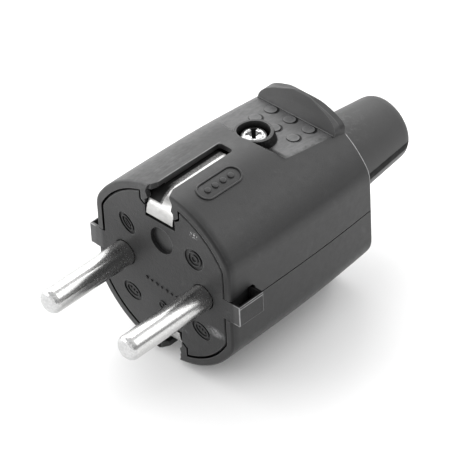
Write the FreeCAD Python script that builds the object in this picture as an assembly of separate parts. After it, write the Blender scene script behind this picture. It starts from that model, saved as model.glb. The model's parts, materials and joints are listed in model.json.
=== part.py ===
import FreeCAD, Part
import math
import os

os.makedirs("parts", exist_ok=True)

V = FreeCAD.Vector

# ---------------------------------------------------------------------------
# Rewirable two-pin plug with side earth contacts, straight cable outlet.
# Millimetres. Origin: centre of the engagement face. The pins point to -Y,
# the cable outlet to +Y, the clamping screw is on +Z, the guide lugs on +-X.
# ---------------------------------------------------------------------------

# contact pins
PIN_PITCH = 19.0
PIN_R = 2.4
PIN_LEN = 19.0
PIN_TIP = 0.8
SHANK_IN_R = 2.2

# housing, outer form: (y, radius, half width over the side flats)
OUTER = [(0.0, 18.38, 16.20), (6.0, 18.34, 16.20), (12.0, 18.25, 16.18),
         (18.0, 18.12, 16.08), (24.0, 17.88, 15.90), (30.0, 17.52, 15.58),
         (37.1, 17.00, 15.08)]
BODY_LEN = 37.1
OUTER_CORNER_R = 5.0
EDGE_R = 0.45

# mouth of the housing, round the pin carrier
MOUTH_R = 16.86
MOUTH_W = 14.84
MOUTH_CORNER_R = 2.0
MOUTH_END = 16.4
GROOVE_R = 17.40
GROOVE_W = 15.30
GROOVE_Y0, GROOVE_Y1 = 1.55, 3.35

# rear chamber and sleeve seat
CAVITY_R = 15.6
CAVITY_W = 13.9
CAVITY_END = 31.2
REAR_RIB_END = 32.4
SLEEVE_GROOVE_R = 10.0
SLEEVE_GROOVE_END = 34.7
SLEEVE_BORE_R = 8.50
REAR_RIB_R = 6.6

# parting plane between the two housing halves
PART_GAP = 0.05
SEAM_HALF = 0.13
SEAM_DEPTH = 0.22

# earth slots in the housing
SLOT_HALF = 1.68
SLOT_END = 16.85
SLOT_MOUTH_TOP = 2.40
SLOT_MOUTH_LOW = 3.32
TAB_OUT = 4.46
TAB_LOW = 13.66
TAB_T = 1.0
# inner edge of a return, from its foot to the rim: a small nib stands in over the nose of the strip
TAB_EDGE = [(3.3, 14.75), (2.82, 15.2), (2.82, 15.45), (3.16, 16.4), (3.12, 16.9), (2.40, 18.3)]
CHANNEL_Z = 17.1
CHANNEL_HALF = 3.55

# finger rest: sloping floor, front step, ridge at the rear
FLOOR_Y0, FLOOR_Z0 = 23.05, 15.95
FLOOR_Y1, FLOOR_Z1 = 33.5, 14.85
STEP_Y, STEP_Z = 20.80, 17.95
RIDGE_PROFILE = [(0.0, 19.3), (2.0, 19.02), (3.4, 18.55), (4.6, 18.12), (5.8, 17.75), (7.0, 17.28), (7.9, 16.82),
                 (8.6, 16.3), (9.1, 15.65), (9.32, 14.9), (9.38, 14.0)]
RIDGE_FRONT = [(34.08, 14.79), (34.55, 15.70), (35.00, 16.70), (35.44, 17.75), (35.78, 18.68), (35.96, 19.12)]
# narrow bead along the foot of the ridge
BEAD_H = 0.16
BEAD_Y0 = 34.02
RIDGE_TOP = [(35.96, 19.12), (36.14, 19.28), (36.45, 19.1), (36.8, 18.72), (37.0, 18.45), (37.1, 18.15)]
RIDGE_HALF_FRONT, RIDGE_HALF_REAR = 9.1, 9.4
DOT_R = 1.24
DOT_H = 0.16
DOT_X = 4.57
DOT_ROWS = (28.75, 32.68)

# clamping screw between the halves
SCREW_Y = 23.6
SCREW_BORE_R = 3.02
BOSS_R_TOP = 3.48
BOSS_R_LOW = 4.12
HEAD_SEAT_Z = 15.25
HEAD_R = 2.4
HEAD_H = 1.75
SHANK_R = 1.45
POST_R = 3.15
NUT_AF = 5.5
NUT_H = 2.4
NUT_Z = -14.2

# pin carrier
CARRIER_R = 16.50
CARRIER_W = 14.48
FLANGE_R = 17.22
FLANGE_W = 15.12
PLATE_T = 4.0
LUG_X = 18.30
LUG_HALF = 2.10
LUG_LEN = 6.0
NOTCH_FLOOR = 11.20
NOTCH_LOW_HALF = 3.60
NOTCH_UP_HALF = 4.88
NOTCH_STEP = 13.38
CORE_END = 14.4
CORE_Z = 6.3
CORE_X = 14.4
BLIND_R = 2.70
BLIND_Z = 7.35
BLIND_DEPTH = 0.9

# four plain shallow oval hollows in the face: centre x, z, long and short half axes, lean of the long axis in degrees
HOLLOWS = [(-8.45, 7.0, 2.3, 1.5, -46.0), (7.85, 7.3, 2.25, 2.15, 0.0), (-8.2, -7.95, 2.25, 1.65, -23.0),
           (8.6, -8.05, 2.3, 1.6, -23.0)]
HOLLOW_DEPTH = 0.24

# terminals
BLOCK_X = 3.60
BLOCK_ZL, BLOCK_ZH = -4.0, 4.2
BLOCK_Y0, BLOCK_Y1 = 4.15, 14.25
WIRE_X = 2.0
WIRE_ZL, WIRE_ZH = -2.2, 1.5
TSCREW_Y = 9.6

# earth contact strip
STRIP_LEFT = 3.40
STRIP_RIGHT = 2.90
STRIP_T = 0.8
STRIP_Z = 16.7
STRIP_NOSE_R = 3.75
STRIP_FRONT = 0.08
STRIP_TIP_Z = 11.82
STRIP_BACK = 17.10
STRIP_BEND_R = 1.1

# cord clamp
CLAMP_Y0, CLAMP_Y1 = 26.95, 30.6
CLAMP_X = 10.6
CLAMP_SCREW_X = 8.0
CLAMP_ARCH = 4.4
CLAMP_T = 2.1

# cable sleeve
SLEEVE_R0 = 8.35
SLEEVE_R1 = 6.45
SLEEVE_END = 57.5
SLEEVE_HOLE_R = 4.3
FLANGE_SLEEVE_R = 9.85


def box(x0, x1, y0, y1, z0, z1):
    return Part.makeBox(x1 - x0, y1 - y0, z1 - z0, V(x0, y0, z0))


def cyl_y(r, y0, y1, x=0.0, z=0.0):
    return Part.makeCylinder(r, y1 - y0, V(x, y0, z), V(0, 1, 0))


def cyl_z(r, z0, z1, x=0.0, y=0.0):
    return Part.makeCylinder(r, z1 - z0, V(x, y, z0), V(0, 0, 1))


def cone_z(r0, r1, z0, z1, x=0.0, y=0.0):
    if abs(r0 - r1) < 1e-9:
        return cyl_z(r0, z0, z1, x, y)
    return Part.makeCone(r0, r1, z1 - z0, V(x, y, z0), V(0, 0, 1))


def cone_y(r0, r1, y0, y1, x=0.0, z=0.0):
    return Part.makeCone(r0, r1, y1 - y0, V(x, y0, z), V(0, 1, 0))


def prism_yz(pts, x0, x1):
    w = Part.makePolygon([V(x0, y, z) for y, z in pts] + [V(x0, pts[0][0], pts[0][1])])
    return Part.Face(w).extrude(V(x1 - x0, 0, 0))


def prism_xz(pts, y0, y1):
    w = Part.makePolygon([V(x, y0, z) for x, z in pts] + [V(pts[0][0], y0, pts[0][1])])
    return Part.Face(w).extrude(V(0, y1 - y0, 0))


def prism_xy(pts, z0, z1):
    w = Part.makePolygon([V(x, y, z0) for x, y in pts] + [V(pts[0][0], pts[0][1], z0)])
    return Part.Face(w).extrude(V(0, 0, z1 - z0))


def outline(r, w, rc, y):
    # circle of radius r with two flats at x = +-w and blended corners rc
    zc = math.sqrt((r - rc) ** 2 - (w - rc) ** 2)
    ang = math.atan2(zc, w - rc)
    tx, tz = r * math.cos(ang), r * math.sin(ang)
    half = ang / 2.0
    fx, fz = (w - rc) + rc * math.cos(half), zc + rc * math.sin(half)

    def p(x, z):
        return V(x, y, z)

    e = [Part.makeLine(p(w, -zc), p(w, zc)),
         Part.Arc(p(w, zc), p(fx, fz), p(tx, tz)).toShape(),
         Part.Arc(p(tx, tz), p(0, r), p(-tx, tz)).toShape(),
         Part.Arc(p(-tx, tz), p(-fx, fz), p(-w, zc)).toShape(),
         Part.makeLine(p(-w, zc), p(-w, -zc)),
         Part.Arc(p(-w, -zc), p(-fx, -fz), p(-tx, -tz)).toShape(),
         Part.Arc(p(-tx, -tz), p(0, -r), p(tx, -tz)).toShape(),
         Part.Arc(p(tx, -tz), p(fx, -fz), p(w, -zc)).toShape()]
    return Part.Wire(e)


def flat_disc(r, w, rc, y0, y1):
    return Part.Face(outline(r, w, rc, y0)).extrude(V(0, y1 - y0, 0))


def turn_y(pts, x=0.0, z=0.0):
    # solid of revolution about the line (x, *, z); pts are (y, r)
    w = Part.makePolygon([V(x + r, y, z) for y, r in pts] + [V(x + pts[0][1], pts[0][0], z)])
    return Part.Face(w).revolve(V(x, 0, z), V(0, 1, 0), 360)


def turn_z(pts, x=0.0, y=0.0):
    w = Part.makePolygon([V(x + r, y, z) for z, r in pts] + [V(x + pts[0][1], y, pts[0][0])])
    return Part.Face(w).revolve(V(x, y, 0), V(0, 0, 1), 360)


def mirror_z(s):
    return s.mirror(V(0, 0, 0), V(0, 0, 1))


def mirror_x(s):
    return s.mirror(V(0, 0, 0), V(1, 0, 0))


def save(shape, name):
    shape = shape.removeSplitter()
    solids = shape.Solids
    if len(solids) == 1:
        shape = solids[0]
    print("%-22s solids %d  valid %s  volume %.1f" % (name, len(solids), shape.isValid(), shape.Volume))
    shape.exportStep("parts/%s.step" % name)
    return shape


# ---------------------------------------------------------------------------
# housing
# ---------------------------------------------------------------------------

def outer_solid(shrink=0.0):
    wires = [outline(r - shrink, w - shrink, OUTER_CORNER_R, y) for y, r, w in OUTER]
    return Part.makeLoft(wires, True, False)


body = outer_solid()
ends = [e for e in body.Edges
        if all(abs(v.Point.y) < 1e-6 for v in e.Vertexes)
        or all(abs(v.Point.y - BODY_LEN) < 1e-6 for v in e.Vertexes)]
body = body.makeFillet(EDGE_R, ends)
inner_skin = outer_solid(SEAM_DEPTH)

# half shell for +Z; the lower one is its mirror image plus its own details
floor_slope = (FLOOR_Z0 - FLOOR_Z1) / (FLOOR_Y1 - FLOOR_Y0)


def floor_z(y):
    return FLOOR_Z1 + (FLOOR_Y1 - y) * floor_slope




def front_edge(x):
    # front face of the ridge: one slightly hollow sweep from the floor to the crest
    c = Part.BSplineCurve()
    c.interpolate([V(x, y, z) for y, z in RIDGE_FRONT])
    return c.toShape()


rx = -22.0
ry, rz = RIDGE_FRONT[-1]
corners = [V(rx, ry, rz), V(rx, ry, 24.0), V(rx, STEP_Y - 0.6, 24.0), V(rx, STEP_Y - 0.25, 18.6), V(rx, STEP_Y, STEP_Z),
           V(rx, FLOOR_Y0, FLOOR_Z0), V(rx, *RIDGE_FRONT[0])]
recess = Part.Face(Part.Wire([front_edge(rx)] + [Part.makeLine(p, q) for p, q in zip(corners, corners[1:])])).extrude(
    V(44.0, 0, 0))
boss_keep = cone_z(BOSS_R_LOW, BOSS_R_TOP, 15.6, 17.9, 0.0, SCREW_Y)
recess_cut = recess.cut(boss_keep)

ridge_pts = RIDGE_PROFILE
spl = Part.BSplineCurve()
spl.interpolate([V(-x, FLOOR_Y1 - 0.5, z) for x, z in reversed(ridge_pts[1:])]
                + [V(x, FLOOR_Y1 - 0.5, z) for x, z in ridge_pts])
xe, ze = ridge_pts[-1]
ridge_face = Part.Face(Part.Wire([
    spl.toShape(),
    Part.makeLine(V(xe, FLOOR_Y1 - 0.5, ze), V(xe, FLOOR_Y1 - 0.5, 12.0)),
    Part.makeLine(V(xe, FLOOR_Y1 - 0.5, 12.0), V(-xe, FLOOR_Y1 - 0.5, 12.0)),
    Part.makeLine(V(-xe, FLOOR_Y1 - 0.5, 12.0), V(-xe, FLOOR_Y1 - 0.5, ze))]))
ridge = ridge_face.extrude(V(0, 6.0, 0))
top_curve = Part.BSplineCurve()
top_curve.interpolate([V(-12.0, y, z) for y, z in RIDGE_TOP])
ridge_side = Part.Face(Part.Wire([
    Part.makeLine(V(-12.0, FLOOR_Y1, 10.0), V(-12.0, *RIDGE_FRONT[0])), front_edge(-12.0), top_curve.toShape(),
    Part.makeLine(V(-12.0, *RIDGE_TOP[-1]), V(-12.0, BODY_LEN, 10.0)),
    Part.makeLine(V(-12.0, BODY_LEN, 10.0), V(-12.0, FLOOR_Y1, 10.0))])).extrude(V(24.0, 0, 0))
ridge = ridge.common(ridge_side)
ridge = ridge.common(prism_xy([(-RIDGE_HALF_FRONT, FLOOR_Y1 - 1.0), (RIDGE_HALF_FRONT, FLOOR_Y1 - 1.0),
                               (RIDGE_HALF_REAR, BODY_LEN + 0.5), (-RIDGE_HALF_REAR, BODY_LEN + 0.5)], 5.0, 25.0))

# six low round studs, square to the sloping floor
lean = math.atan(floor_slope)
up = V(0.0, math.sin(lean), math.cos(lean))
studs = []
for y in DOT_ROWS:
    for x in (-DOT_X, 0.0, DOT_X):
        foot = V(x, y, floor_z(y)) - up * 0.3
        studs.append(Part.makeCone(DOT_R + 0.06, DOT_R - 0.06, 0.3 + DOT_H, foot, up))
bead = prism_yz([(BEAD_Y0, floor_z(BEAD_Y0) - 0.4), (BEAD_Y0, floor_z(BEAD_Y0) + BEAD_H - 0.05),
                 (BEAD_Y0 + 0.06, floor_z(BEAD_Y0) + BEAD_H), (34.66, floor_z(BEAD_Y0) + BEAD_H), (34.66, 14.0)],
                -RIDGE_HALF_FRONT, RIDGE_HALF_FRONT)


def chamber():
    # everything hollow inside both halves
    mouth = flat_disc(MOUTH_R, MOUTH_W, MOUTH_CORNER_R, -1.0, MOUTH_END)
    groove = flat_disc(GROOVE_R, GROOVE_W, MOUTH_CORNER_R, GROOVE_Y0, GROOVE_Y1)
    mid = flat_disc(CAVITY_R, CAVITY_W, MOUTH_CORNER_R, MOUTH_END - 0.5, CAVITY_END)
    lim = prism_yz([(10.0, -17.5), (10.0, 17.5), (19.6, 15.6), (21.5, 14.2), (CAVITY_END + 1.0, 12.9),
                    (CAVITY_END + 1.0, -12.9), (21.5, -14.2), (19.6, -15.6)], -20.0, 20.0)
    mid = mid.common(lim)
    rib = cyl_y(REAR_RIB_R, CAVITY_END - 1.0, REAR_RIB_END + 0.2)
    seat = cyl_y(SLEEVE_GROOVE_R, REAR_RIB_END, SLEEVE_GROOVE_END)
    hole = cyl_y(SLEEVE_BORE_R, SLEEVE_GROOVE_END - 0.5, BODY_LEN + 3.0)
    return mouth.fuse([groove, mid, rib, seat, hole])


hollow = chamber()

# corner posts in the rear chamber that stop the carrier from moving back
stops = [box(sx * 10.6 - 1.6, sx * 10.6 + 1.6, CORE_END + 1.95, CORE_END + 5.0, 4.4, 12.4) for sx in (-1, 1)]


def half_shell(extra):
    # +Z side only, so that every later step works on a light shape
    s = body.common(box(-20, 20, -1.0, BODY_LEN + 1.0, 0.0, 25.0))
    s = s.cut(recess_cut)
    s = s.fuse([ridge, bead] + studs)
    s = s.cut(hollow)
    # posts behind the carrier, post round the clamping screw
    post = cyl_z(POST_R, 0.0, 14.6, 0.0, SCREW_Y).fuse(cyl_z(BOSS_R_LOW, 12.6, 15.8, 0.0, SCREW_Y))
    s = s.fuse(stops + [post] + extra)
    # inward returns beside the earth slot, at the front rim only
    tab = prism_xz([(SLOT_MOUTH_LOW, TAB_LOW), (TAB_OUT - 1.0, TAB_LOW), (TAB_OUT, TAB_LOW + 0.8),
                    (TAB_OUT, 16.9), (SLOT_MOUTH_TOP - 0.1, 16.9)], 0.0, TAB_T)
    s = s.fuse([tab, mirror_x(tab)])
    # earth slot: narrow groove along the cover, wider flared mouth at the rim
    channel = box(-CHANNEL_HALF, CHANNEL_HALF, TAB_T, SLOT_END + 2.6, 12.0, CHANNEL_Z)
    slot = box(-SLOT_HALF, SLOT_HALF, -1.0, SLOT_END, 12.0, 20.0)
    slot = slot.makeFillet(0.7, [e for e in slot.Edges if all(abs(v.Point.y - SLOT_END) < 1e-6 for v in e.Vertexes)
                                 and abs(e.Vertexes[0].Point.z - e.Vertexes[1].Point.z) > 1.0])
    side = [(SLOT_MOUTH_LOW, 12.0), (SLOT_MOUTH_LOW, TAB_LOW)] + TAB_EDGE + [(SLOT_MOUTH_TOP, 20.0)]
    # the strip sits a little to the left, so the left return starts further out
    left = [(-px - (0.3 if pz < 15.0 else 0.1), pz) for px, pz in reversed(side)]
    mouth = prism_xz(side + left, -1.0, 0.45)
    flare = prism_xy([(-SLOT_MOUTH_TOP, 0.4), (SLOT_MOUTH_TOP, 0.4), (SLOT_HALF, 1.9), (-SLOT_HALF, 1.9)],
                     12.0, 20.0)
    side = side[:-2] + [(SLOT_MOUTH_TOP + 0.4, CHANNEL_Z)]
    left = [(-px - (0.3 if pz < 15.0 else 0.1), pz) for px, pz in reversed(side)]
    tabthrough = prism_xz(side + left, 0.4, TAB_T + 0.1)
    s = s.cut(channel.fuse([slot, mouth, flare, tabthrough]))
    # guide lug windows
    for sx in (-1, 1):
        x0, x1 = sorted((sx * 13.5, sx * 20.0))
        s = s.cut(prism_yz([(-1.0, -5.0), (-1.0, LUG_HALF + 0.15), (1.4, LUG_HALF + 0.15), (4.5, LUG_HALF + 0.85),
                            (5.5, LUG_HALF + 0.8), (LUG_LEN + 0.15, LUG_HALF + 0.15), (LUG_LEN + 0.15, -5.0)], x0, x1))
    return s


def seam_cut(s):
    band = box(-20, 20, -1.0, BODY_LEN + 1.0, -SEAM_HALF, SEAM_HALF).cut(inner_skin)
    s = s.cut(band)
    return s.cut(box(-20, 20, -2.0, BODY_LEN + 2.0, -30.0, PART_GAP))


# upper half: counterbore for the screw head, clearance hole for its shank
upper = seam_cut(half_shell([])).cut(cyl_z(SCREW_BORE_R, HEAD_SEAT_Z, 22.0, 0.0, SCREW_Y))
upper = upper.cut(cyl_z(SHANK_R + 0.2, -1.0, 22.0, 0.0, SCREW_Y))
upper = save(upper, "housing_upper")

# lower half: hexagonal nut pocket, clamp bosses and a cord saddle
clamp_y = (CLAMP_Y0 + CLAMP_Y1) / 2.0
pads = [cyl_z(2.85, 0.4, 13.6, sx * CLAMP_SCREW_X, clamp_y) for sx in (-1, 1)]
pads.append(box(-5.2, 5.2, 28.2, 30.2, 3.6, 13.6).cut(cyl_y(4.4, 20.0, 40.0)))
lower = seam_cut(half_shell(pads))
hexr = (NUT_AF / 2.0 + 0.1) / math.cos(math.pi / 6)
nut_pts = [(hexr * math.cos(math.radians(60 * i)), SCREW_Y + hexr * math.sin(math.radians(60 * i))) for i in range(6)]
holes = [cyl_z(SHANK_R + 0.2, -1.0, 22.0, 0.0, SCREW_Y), prism_xy(nut_pts, -NUT_Z, 22.0)]
holes += [cyl_z(1.5, -0.2, 9.4, sx * CLAMP_SCREW_X, clamp_y) for sx in (-1, 1)]
for h in holes:
    lower = lower.cut(h)
lower = mirror_z(lower)
lower = save(lower, "housing_lower")

# ---------------------------------------------------------------------------
# pin carrier: face plate with guide lugs and the terminal chambers behind it
# ---------------------------------------------------------------------------
plate = flat_disc(CARRIER_R, CARRIER_W, MOUTH_CORNER_R - 0.25, 0.0, PLATE_T)
plate_edges = [e for e in plate.Edges if all(abs(v.Point.y) < 1e-6 for v in e.Vertexes)]
plate = plate.makeChamfer(0.2, plate_edges)
flange = flat_disc(FLANGE_R, FLANGE_W, MOUTH_CORNER_R - 0.25, GROOVE_Y0 + 0.08, GROOVE_Y1 - 0.08)
core = flat_disc(16.2, CORE_X, 2.0, 3.0, CORE_END).common(box(-20, 20, 3.0, CORE_END, -CORE_Z, CORE_Z))
carrier = plate.fuse([flange, core])
for sx in (-1, 1):
    x0, x1 = sorted((sx * 13.0, sx * LUG_X))
    lug = box(x0, x1, 0.0, LUG_LEN, -LUG_HALF, LUG_HALF)
    lug = lug.makeFillet(0.22, [e for e in lug.Edges if all(abs(abs(v.Point.x) - LUG_X) < 1e-6 for v in e.Vertexes)])
    carrier = carrier.fuse(lug)
    px0, px1 = sorted((sx * 15.2, sx * (LUG_X - 0.4)))
    carrier = carrier.cut(box(px0, px1, 0.5, LUG_LEN - 0.4, -0.6, LUG_HALF + 1.0))
# notches for the earth contact, with side steps for the housing returns
for sz in (-1, 1):
    n = prism_xz([(-NOTCH_LOW_HALF, sz * NOTCH_FLOOR), (NOTCH_LOW_HALF, sz * NOTCH_FLOOR),
                  (NOTCH_LOW_HALF, sz * NOTCH_STEP), (NOTCH_UP_HALF - 1.0, sz * NOTCH_STEP),
                  (NOTCH_UP_HALF, sz * (NOTCH_STEP + 0.8)), (NOTCH_UP_HALF, sz * 20.0),
                  (-NOTCH_UP_HALF, sz * 20.0), (-NOTCH_UP_HALF, sz * (NOTCH_STEP + 0.8)),
                  (-NOTCH_UP_HALF + 1.0, sz * NOTCH_STEP), (-NOTCH_LOW_HALF, sz * NOTCH_STEP)], -1.0, 5.0)
    carrier = carrier.cut(n)
for hx, hz, ha, hb, lean_deg in HOLLOWS:
    oval = Part.Face(Part.Wire([Part.Ellipse(V(0, 0, 0), ha, hb).toShape()]))
    oval.rotate(V(0, 0, 0), V(0, 0, 1), lean_deg)
    oval.rotate(V(0, 0, 0), V(1, 0, 0), 90.0)
    oval.translate(V(hx, -1.0, hz))
    carrier = carrier.cut(oval.extrude(V(0, 1.0 + HOLLOW_DEPTH, 0)))
for sx in (-1, 1):
    x = sx * PIN_PITCH / 2.0
    carrier = carrier.cut(cyl_y(SHANK_IN_R + 0.1, -1.0, 6.0, x))
    carrier = carrier.cut(cyl_y(PIN_R + 0.12, -1.0, 0.30, x))
    carrier = carrier.cut(box(x - BLOCK_X - 0.1, x + BLOCK_X + 0.1, PLATE_T, CORE_END + 1, BLOCK_ZL - 0.1, BLOCK_ZH + 0.1))
    carrier = carrier.cut(box(x - 2.85, x + 2.85, TSCREW_Y - 2.85, CORE_END + 1, BLOCK_ZH, CORE_Z + 1))
carrier = carrier.cut(cyl_y(BLIND_R, -1.0, BLIND_DEPTH, 0.0, BLIND_Z))
carrier = carrier.cut(cyl_y(1.72, 5.0, CORE_END + 1))
carrier = save(carrier, "pin_carrier")

# plate behind the chambers: holds both pins in, supports the earth strap
bridge = flat_disc(16.2, CORE_X, 2.0, CORE_END + 0.05, CORE_END + 1.85).common(
    box(-20, 20, 0, 30, -CORE_Z, CORE_Z))
for sx in (-1, 1):
    x = sx * PIN_PITCH / 2.0
    bridge = bridge.cut(box(x - 2.3, x + 2.3, 10, 20, WIRE_ZL - 0.2, WIRE_ZH + 0.2))
bridge = bridge.cut(cyl_y(1.95, 10, 20))
bridge = save(bridge, "carrier_bridge")

# ---------------------------------------------------------------------------
# live pins with their wire terminals
# ---------------------------------------------------------------------------

def make_pin(x):
    shaft = turn_y([(-PIN_LEN, 0.0), (-PIN_LEN, PIN_R - PIN_TIP), (-PIN_LEN + 0.1, PIN_R - PIN_TIP + 0.24),
                    (-PIN_LEN + 0.34, PIN_R - 0.3), (-PIN_LEN + 0.7, PIN_R - 0.09), (-PIN_LEN + 1.1, PIN_R),
                    (0.0, PIN_R), (0.0, SHANK_IN_R), (BLOCK_Y0 + 0.5, SHANK_IN_R), (BLOCK_Y0 + 0.5, 0.0)], x)
    block = box(x - BLOCK_X, x + BLOCK_X, BLOCK_Y0, BLOCK_Y1, BLOCK_ZL, BLOCK_ZH)
    block = block.makeChamfer(0.35, [e for e in block.Edges if all(abs(v.Point.y - BLOCK_Y1) < 1e-6 for v in e.Vertexes)])
    p = shaft.fuse(block)
    p = p.cut(box(x - WIRE_X, x + WIRE_X, 5.8, 20.0, WIRE_ZL, WIRE_ZH))
    p = p.cut(cyl_z(1.5, WIRE_ZH - 0.5, 10.0, x, TSCREW_Y))
    return p


for sx, side in ((-1, "left"), (1, "right")):
    x = sx * PIN_PITCH / 2.0
    save(make_pin(x), "pin_" + side)
    # terminal screw: slotted cheese head, tip on the pressure plate
    scr = turn_z([(-0.45, 0.0), (-0.45, 1.0), (-0.15, 1.42), (4.5, 1.42), (4.5, 2.5), (5.85, 2.5),
                  (6.1, 2.25), (6.1, 0.0)], x, TSCREW_Y)
    scr = scr.cut(box(x - 3.0, x + 3.0, TSCREW_Y - 0.35, TSCREW_Y + 0.35, 5.2, 7.0))
    save(scr, "terminal_screw_" + side)
    # pressure plate between screw tip and conductor
    pl = box(x - 1.85, x + 1.85, 7.2, 12.4, -1.25, -0.5)
    pl = pl.cut(cyl_y(0.45, 7.0, 13.0, x, -1.25))
    save(pl, "pressure_plate_" + side)

# ---------------------------------------------------------------------------
# earth contact: one bent strip from the upper slot to the lower slot
# ---------------------------------------------------------------------------

def strip_path(inset):
    # outer line of the upper arm when inset is 0; inner line when it is STRIP_T
    zt = STRIP_Z - inset
    yf = STRIP_FRONT + inset
    yb = STRIP_BACK - inset
    rn = STRIP_NOSE_R - inset
    rb = max(STRIP_BEND_R - inset, 0.2)
    k = math.sqrt(0.5)
    cyn, czn = yf + rn, zt - rn
    cyb, czb = yb - rb, zt - rb
    return [("L", (yf, STRIP_TIP_Z), (yf, czn)) if czn > STRIP_TIP_Z + 1e-6 else None,
            ("A", (yf, max(czn, STRIP_TIP_Z)), (cyn - rn * k, czn + rn * k), (cyn, zt)),
            ("L", (cyn, zt), (cyb, zt)),
            ("A", (cyb, zt), (cyb + rb * k, czb + rb * k), (yb, czb))]


def line_edges(segs, x):
    out = []
    for s in segs:
        if s is None:
            continue
        if s[0] == "L":
            if math.hypot(s[1][0] - s[2][0], s[1][1] - s[2][1]) > 1e-6:
                out.append(Part.makeLine(V(x, *s[1]), V(x, *s[2])))
        else:
            out.append(Part.Arc(V(x, *s[1]), V(x, *s[2]), V(x, *s[3])).toShape())
    return out


xs = -STRIP_LEFT
STRIP_NOSE_R = STRIP_Z - STRIP_TIP_Z
outer_up = strip_path(0.0)
inner_up = strip_path(STRIP_T)
zt_tip = STRIP_TIP_Z


def flip(segs):
    return [None if s is None else (s[0],) + tuple((q[0], -q[1]) for q in s[1:]) for s in segs]


eo = line_edges(outer_up, xs)
ei = line_edges(inner_up, xs)
eo_d = line_edges(flip(outer_up), xs)
ei_d = line_edges(flip(inner_up), xs)
ybo = STRIP_BACK
ybi = STRIP_BACK - STRIP_T
zbo = STRIP_Z - STRIP_BEND_R
zbi = STRIP_Z - STRIP_T - (STRIP_BEND_R - STRIP_T)
parts = eo + [Part.makeLine(V(xs, ybo, zbo), V(xs, ybo, -zbo))] + eo_d
parts += ei + [Part.makeLine(V(xs, ybi, zbi), V(xs, ybi, -zbi))] + ei_d
for sz in (1, -1):
    parts.append(Part.makeLine(V(xs, STRIP_FRONT, sz * zt_tip), V(xs, STRIP_FRONT + STRIP_T, sz * zt_tip)))
wire = Part.Wire(Part.__sortEdges__(parts))
strip = Part.Face(wire).extrude(V(STRIP_LEFT + STRIP_RIGHT, 0, 0))
strip = strip.cut(cyl_y(1.95, 10.0, 20.0))
strip = save(strip, "earth_contact")

# earth terminal: screw through strap and bridge into the carrier, clamp plate
escrew = turn_y([(7.2, 0.0), (7.6, 1.2), (8.4, 1.65), (18.2, 1.65), (18.2, 3.0), (19.3, 2.85),
                 (19.9, 2.2), (20.12, 1.2), (20.15, 0.0)])
escrew = escrew.cut(box(-0.4, 0.4, 19.0, 21.0, -3.5, 3.5)).cut(box(-3.5, 3.5, 19.0, 21.0, -0.4, 0.4).common(
    cyl_y(2.1, 18.0, 21.0)))
save(escrew, "earth_screw")
eclamp = box(-3.7, 3.7, 17.15, 18.12, -3.7, 3.7).cut(cyl_y(1.85, 15.0, 20.0))
eclamp = eclamp.fuse([box(sx * 3.80 - 0.35, sx * 3.80 + 0.35, 16.45, 18.12, -3.7, 3.7) for sx in (-1, 1)])
save(eclamp, "earth_clamp_plate")

# ---------------------------------------------------------------------------
# cord clamp and its two screws
# ---------------------------------------------------------------------------
cy = (CLAMP_Y0 + CLAMP_Y1) / 2.0
ear_z = -0.35
clamp = box(-CLAMP_X, CLAMP_X, CLAMP_Y0, CLAMP_Y1, ear_z, ear_z + CLAMP_T)
clamp = clamp.fuse(cyl_y(CLAMP_ARCH + CLAMP_T, CLAMP_Y0, CLAMP_Y1).common(box(-20, 20, 0, 60, ear_z, 20)))
clamp = clamp.cut(cyl_y(CLAMP_ARCH, 0.0, 60.0))
clamp = clamp.common(cyl_z(CLAMP_X, -5.0, 10.0, 0.0, cy))
for yy in (cy - 0.9, cy + 0.9):
    rib = cyl_y(CLAMP_ARCH + 0.3, yy - 0.25, yy + 0.25).cut(cyl_y(CLAMP_ARCH - 0.5, 0.0, 60.0))
    clamp = clamp.fuse(rib.common(box(-20, 20, 0, 60, 1.2, 20)))
for sx in (-1, 1):
    clamp = clamp.cut(cyl_z(1.6, -5.0, 8.0, sx * CLAMP_SCREW_X, cy))
    clamp = clamp.cut(cyl_z(2.45, ear_z + CLAMP_T, 8.0, sx * CLAMP_SCREW_X, cy))
save(clamp, "cord_clamp")
for sx, side in ((-1, "left"), (1, "right")):
    x = sx * CLAMP_SCREW_X
    s = turn_z([(-8.6, 0.0), (-7.2, 1.25), (-6.9, 1.4), (1.8, 1.4), (1.8, 2.3), (2.9, 2.15), (3.5, 1.6), (3.7, 0.9),
                (3.72, 0.0)], x, cy)
    s = s.cut(box(x - 1.7, x + 1.7, cy - 0.35, cy + 0.35, 2.6, 5.0).fuse(
        box(x - 0.35, x + 0.35, cy - 1.7, cy + 1.7, 2.6, 5.0)))
    save(s, "cord_clamp_screw_" + side)

# ---------------------------------------------------------------------------
# clamping screw and nut of the housing
# ---------------------------------------------------------------------------
hs = turn_z([(-16.5, 0.0), (-16.5, 1.05), (-16.1, SHANK_R), (HEAD_SEAT_Z + 0.05, SHANK_R), (HEAD_SEAT_Z + 0.05, HEAD_R),
             (HEAD_SEAT_Z + 1.15, HEAD_R), (HEAD_SEAT_Z + 1.5, HEAD_R - 0.16), (HEAD_SEAT_Z + HEAD_H, HEAD_R - 0.7),
             (HEAD_SEAT_Z + HEAD_H + 0.1, HEAD_R - 1.4), (HEAD_SEAT_Z + HEAD_H + 0.13, 0.0)], 0.0, SCREW_Y)
cross = []
for a in (45.0, 135.0):
    b = prism_xz([(-1.45, 19.0), (1.45, 19.0), (1.45, HEAD_SEAT_Z + HEAD_H), (0.55, HEAD_SEAT_Z + 0.35),
                  (-0.55, HEAD_SEAT_Z + 0.35), (-1.45, HEAD_SEAT_Z + HEAD_H)], SCREW_Y - 0.38, SCREW_Y + 0.38)
    b.rotate(V(0, SCREW_Y, 0), V(0, 0, 1), a)
    cross.append(b)
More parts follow.
